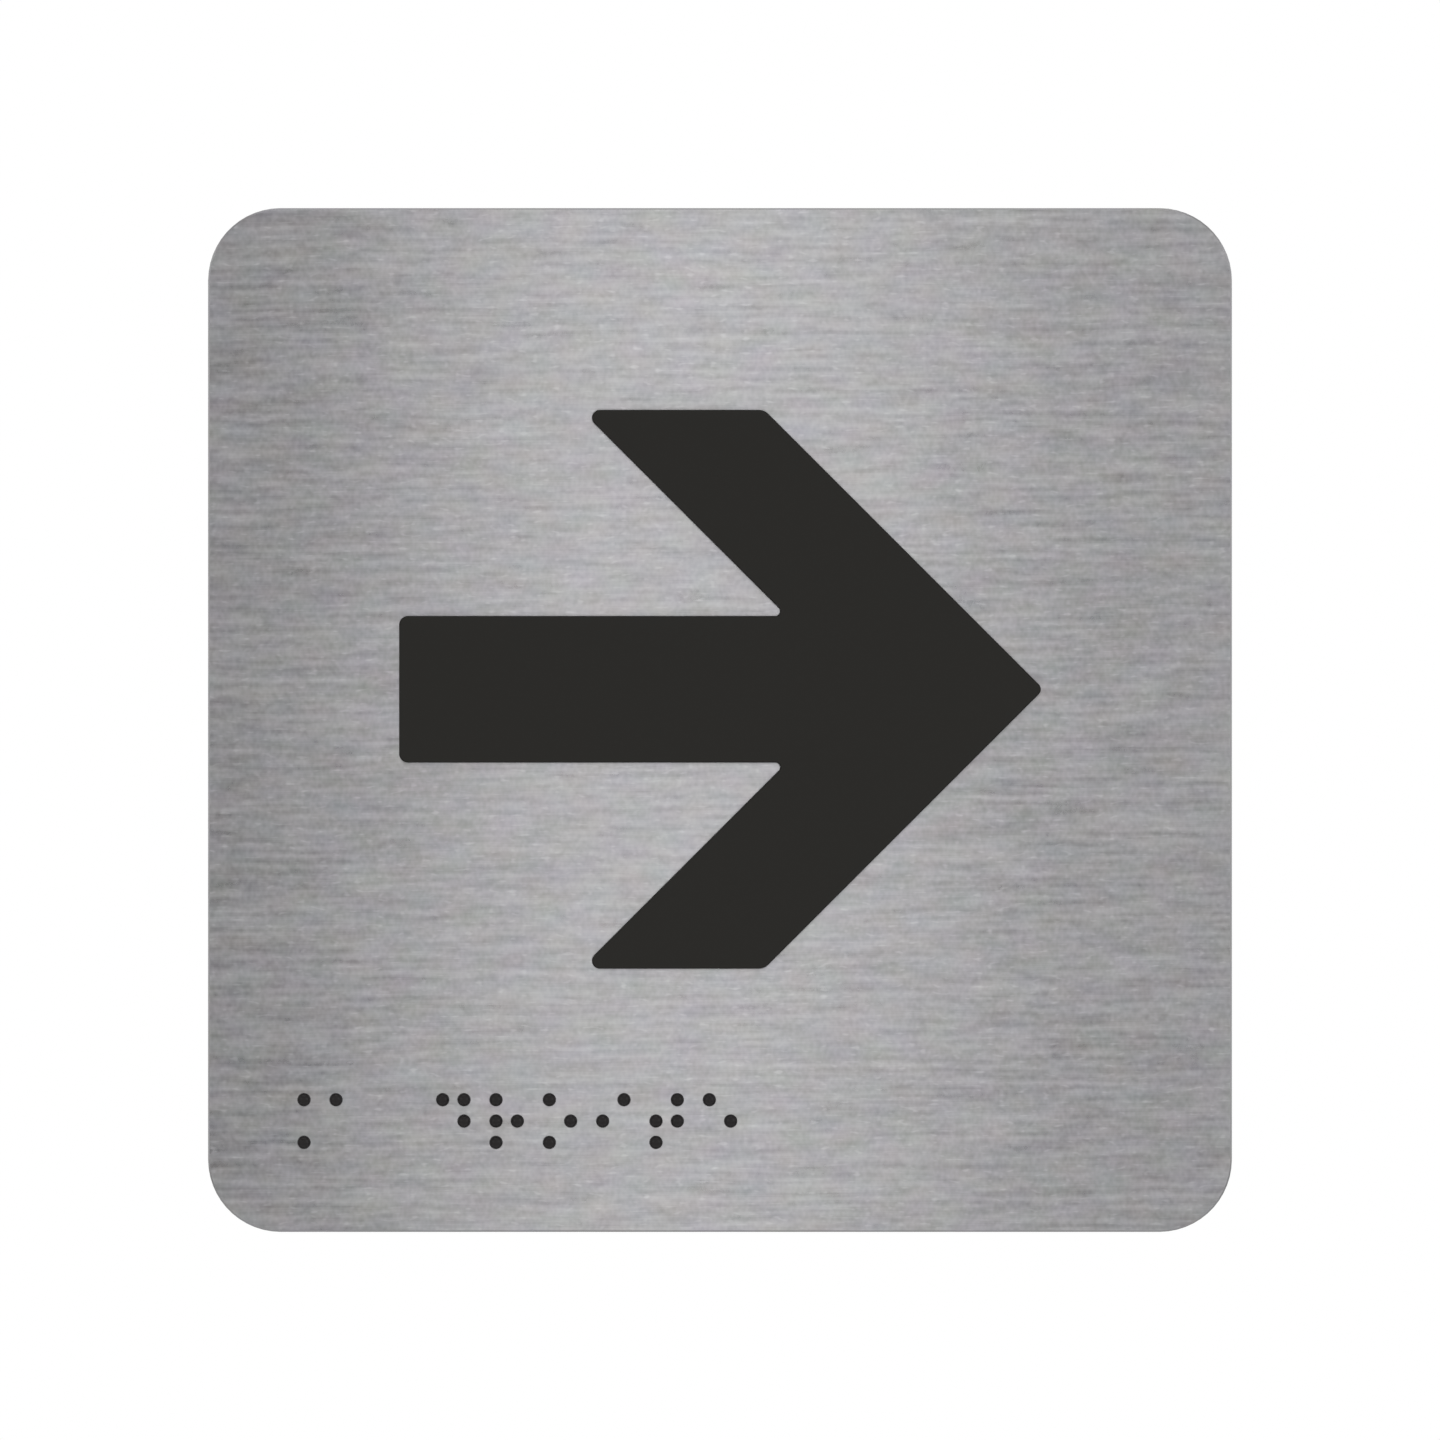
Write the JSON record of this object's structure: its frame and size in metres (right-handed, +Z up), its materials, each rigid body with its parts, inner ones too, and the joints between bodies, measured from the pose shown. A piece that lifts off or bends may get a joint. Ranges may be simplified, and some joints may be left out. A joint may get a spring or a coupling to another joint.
{
  "type": "braille arrow sign",
  "caption": "Square brushed metal wall sign with an inlaid raised arrow pointing right and a line of raised braille beads below it, stuck up with foam tape.",
  "frame": {"origin": "the middle of the plate's outline, on the wall face of the foam tape", "axes": "+Z up, +X to the right as the sign is read, -Y out of the wall towards the reader"},
  "size_m": [0.12, 0.0048, 0.12],
  "materials": {
    "plate": "brushed from left to right, satin",
    "arrow": "black acrylic sheet, matt face",
    "braille": "black acrylic beads, matt",
    "foam_tape": "closed-cell foam with a tacky face"
  },
  "bodies": {
    "root": {"plate": "plate", "arrow": "arrow", "braille_bead_c1_d4": "braille", "braille_bead_c1_d6": "braille", "braille_bead_c2_d1": "braille", "braille_bead_c4_d1": "braille", "braille_bead_c4_d4": "braille", "braille_bead_c4_d5": "braille", "braille_bead_c5_d1": "braille", "braille_bead_c5_d2": "braille", "braille_bead_c5_d3": "braille", "braille_bead_c5_d5": "braille", "braille_bead_c6_d1": "braille", "braille_bead_c6_d3": "braille", "braille_bead_c6_d5": "braille", "braille_bead_c7_d2": "braille", "braille_bead_c7_d4": "braille", "braille_bead_c8_d2": "braille", "braille_bead_c8_d3": "braille", "braille_bead_c8_d4": "braille", "braille_bead_c8_d5": "braille", "braille_bead_c9_d1": "braille", "braille_bead_c9_d5": "braille", "foam_tape_left": "foam_tape", "foam_tape_centre": "foam_tape", "foam_tape_right": "foam_tape"}
  },
  "joints": []
}
